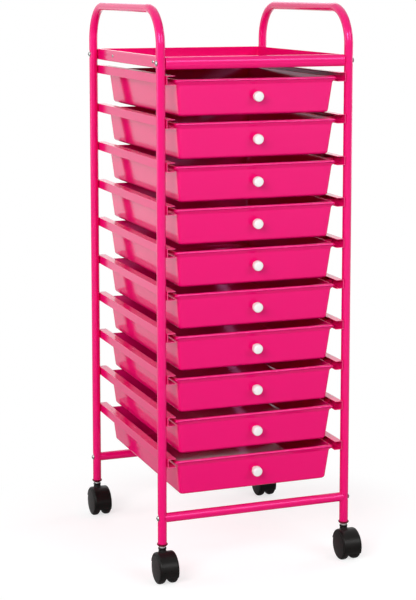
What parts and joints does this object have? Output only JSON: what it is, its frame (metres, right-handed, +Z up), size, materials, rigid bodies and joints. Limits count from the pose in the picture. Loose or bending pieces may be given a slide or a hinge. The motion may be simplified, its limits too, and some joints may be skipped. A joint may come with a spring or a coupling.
{
  "type": "rolling drawer cart",
  "caption": "Tall tube-frame storage cart on swivel casters, with push handles, a shallow top tray and a column of slide-out drawers.",
  "frame": {"origin": "on the floor, under the middle of the cart's bounding box", "axes": "+X to the right seen from the front, +Y to the back, +Z up; the drawers open towards -Y"},
  "size_m": [0.3516, 0.4136, 0.914],
  "materials": {
    "frame_paint": "glossy bright pink powder coat",
    "drawer_plastic": "glossy bright pink moulded plastic",
    "knob_plastic": "smooth white plastic",
    "zinc_steel": "bright zinc plating",
    "socket_plastic": "dark red plastic",
    "stem_chrome": "chrome plating",
    "caster_plastic": "satin near-black nylon",
    "wheel_plastic": "satin near-black nylon"
  },
  "bodies": {
    "frame": {"left_arch_tube": "frame_paint", "right_arch_tube": "frame_paint", "left_rails": "frame_paint", "right_rails": "frame_paint", "front_cross_bar": "frame_paint", "rear_cross_bar": "frame_paint", "bar_inserts": "zinc_steel", "top_tray": "frame_paint", "tray_inserts": "zinc_steel", "tray_rivets": "zinc_steel", "frame_bolts": "zinc_steel", "caster_sockets": "socket_plastic", "caster_stems": "stem_chrome"},
    "drawer_01": {"drawer_tub_01": "drawer_plastic", "drawer_knob_01": "knob_plastic", "knob_screw_01": "zinc_steel"},
    "drawer_02": {"drawer_tub_02": "drawer_plastic", "drawer_knob_02": "knob_plastic", "knob_screw_02": "zinc_steel"},
    "drawer_03": {"drawer_tub_03": "drawer_plastic", "drawer_knob_03": "knob_plastic", "knob_screw_03": "zinc_steel"},
    "drawer_04": {"drawer_tub_04": "drawer_plastic", "drawer_knob_04": "knob_plastic", "knob_screw_04": "zinc_steel"},
    "drawer_05": {"drawer_tub_05": "drawer_plastic", "drawer_knob_05": "knob_plastic", "knob_screw_05": "zinc_steel"},
    "drawer_06": {"drawer_tub_06": "drawer_plastic", "drawer_knob_06": "knob_plastic", "knob_screw_06": "zinc_steel"},
    "drawer_07": {"drawer_tub_07": "drawer_plastic", "drawer_knob_07": "knob_plastic", "knob_screw_07": "zinc_steel"},
    "drawer_08": {"drawer_tub_08": "drawer_plastic", "drawer_knob_08": "knob_plastic", "knob_screw_08": "zinc_steel"},
    "drawer_09": {"drawer_tub_09": "drawer_plastic", "drawer_knob_09": "knob_plastic", "knob_screw_09": "zinc_steel"},
    "drawer_10": {"drawer_tub_10": "drawer_plastic", "drawer_knob_10": "knob_plastic", "knob_screw_10": "zinc_steel"},
    "caster_front_left": {"caster_hood_front_left": "caster_plastic", "caster_axle_front_left": "zinc_steel"},
    "wheel_front_left_left": {"caster_wheel_front_left_left": "wheel_plastic"},
    "wheel_front_left_right": {"caster_wheel_front_left_right": "wheel_plastic"},
    "caster_front_right": {"caster_hood_front_right": "caster_plastic", "caster_axle_front_right": "zinc_steel"},
    "wheel_front_right_left": {"caster_wheel_front_right_left": "wheel_plastic"},
    "wheel_front_right_right": {"caster_wheel_front_right_right": "wheel_plastic"},
    "caster_rear_left": {"caster_hood_rear_left": "caster_plastic", "caster_axle_rear_left": "zinc_steel"},
    "wheel_rear_left_left": {"caster_wheel_rear_left_left": "wheel_plastic"},
    "wheel_rear_left_right": {"caster_wheel_rear_left_right": "wheel_plastic"},
    "caster_rear_right": {"caster_hood_rear_right": "caster_plastic", "caster_axle_rear_right": "zinc_steel"},
    "wheel_rear_right_left": {"caster_wheel_rear_right_left": "wheel_plastic"},
    "wheel_rear_right_right": {"caster_wheel_rear_right_right": "wheel_plastic"}
  },
  "joints": [
    {"name": "drawer_01_slide", "type": "slide", "parent": "frame", "child": "drawer_01", "axis": [0, -1, 0], "range_m": [0, 0.25]},
    {"name": "drawer_02_slide", "type": "slide", "parent": "frame", "child": "drawer_02", "axis": [0, -1, 0], "range_m": [0, 0.25]},
    {"name": "drawer_03_slide", "type": "slide", "parent": "frame", "child": "drawer_03", "axis": [0, -1, 0], "range_m": [0, 0.25]},
    {"name": "drawer_04_slide", "type": "slide", "parent": "frame", "child": "drawer_04", "axis": [0, -1, 0], "range_m": [0, 0.25]},
    {"name": "drawer_05_slide", "type": "slide", "parent": "frame", "child": "drawer_05", "axis": [0, -1, 0], "range_m": [0, 0.25]},
    {"name": "drawer_06_slide", "type": "slide", "parent": "frame", "child": "drawer_06", "axis": [0, -1, 0], "range_m": [0, 0.25]},
    {"name": "drawer_07_slide", "type": "slide", "parent": "frame", "child": "drawer_07", "axis": [0, -1, 0], "range_m": [0, 0.25]},
    {"name": "drawer_08_slide", "type": "slide", "parent": "frame", "child": "drawer_08", "axis": [0, -1, 0], "range_m": [0, 0.25]},
    {"name": "drawer_09_slide", "type": "slide", "parent": "frame", "child": "drawer_09", "axis": [0, -1, 0], "range_m": [0, 0.25]},
    {"name": "drawer_10_slide", "type": "slide", "parent": "frame", "child": "drawer_10", "axis": [0, -1, 0], "range_m": [0, 0.25]},
    {"name": "caster_front_left_swivel", "type": "hinge", "parent": "frame", "child": "caster_front_left", "pos_m": [-0.159, -0.16628, 0.0539], "axis": [0, 0, 1], "continuous": true},
    {"name": "wheel_front_left_left_roll", "type": "hinge", "parent": "caster_front_left", "child": "wheel_front_left_left", "pos_m": [-0.16878, -0.18028, 0.024], "axis": [1, 0, 0], "continuous": true},
    {"name": "wheel_front_left_right_roll", "type": "hinge", "parent": "caster_front_left", "child": "wheel_front_left_right", "pos_m": [-0.14922, -0.18028, 0.024], "axis": [1, 0, 0], "continuous": true},
    {"name": "caster_front_right_swivel", "type": "hinge", "parent": "frame", "child": "caster_front_right", "pos_m": [0.159, -0.16628, 0.0539], "axis": [0, 0, 1], "continuous": true},
    {"name": "wheel_front_right_left_roll", "type": "hinge", "parent": "caster_front_right", "child": "wheel_front_right_left", "pos_m": [0.14922, -0.18028, 0.024], "axis": [1, 0, 0], "continuous": true},
    {"name": "wheel_front_right_right_roll", "type": "hinge", "parent": "caster_front_right", "child": "wheel_front_right_right", "pos_m": [0.16878, -0.18028, 0.024], "axis": [1, 0, 0], "continuous": true},
    {"name": "caster_rear_left_swivel", "type": "hinge", "parent": "frame", "child": "caster_rear_left", "pos_m": [-0.159, 0.19522, 0.0539], "axis": [0, 0, 1], "continuous": true},
    {"name": "wheel_rear_left_left_roll", "type": "hinge", "parent": "caster_rear_left", "child": "wheel_rear_left_left", "pos_m": [-0.16878, 0.18122, 0.024], "axis": [1, 0, 0], "continuous": true},
    {"name": "wheel_rear_left_right_roll", "type": "hinge", "parent": "caster_rear_left", "child": "wheel_rear_left_right", "pos_m": [-0.14922, 0.18122, 0.024], "axis": [1, 0, 0], "continuous": true},
    {"name": "caster_rear_right_swivel", "type": "hinge", "parent": "frame", "child": "caster_rear_right", "pos_m": [0.159, 0.19522, 0.0539], "axis": [0, 0, 1], "continuous": true},
    {"name": "wheel_rear_right_left_roll", "type": "hinge", "parent": "caster_rear_right", "child": "wheel_rear_right_left", "pos_m": [0.14922, 0.18122, 0.024], "axis": [1, 0, 0], "continuous": true},
    {"name": "wheel_rear_right_right_roll", "type": "hinge", "parent": "caster_rear_right", "child": "wheel_rear_right_right", "pos_m": [0.16878, 0.18122, 0.024], "axis": [1, 0, 0], "continuous": true}
  ]
}
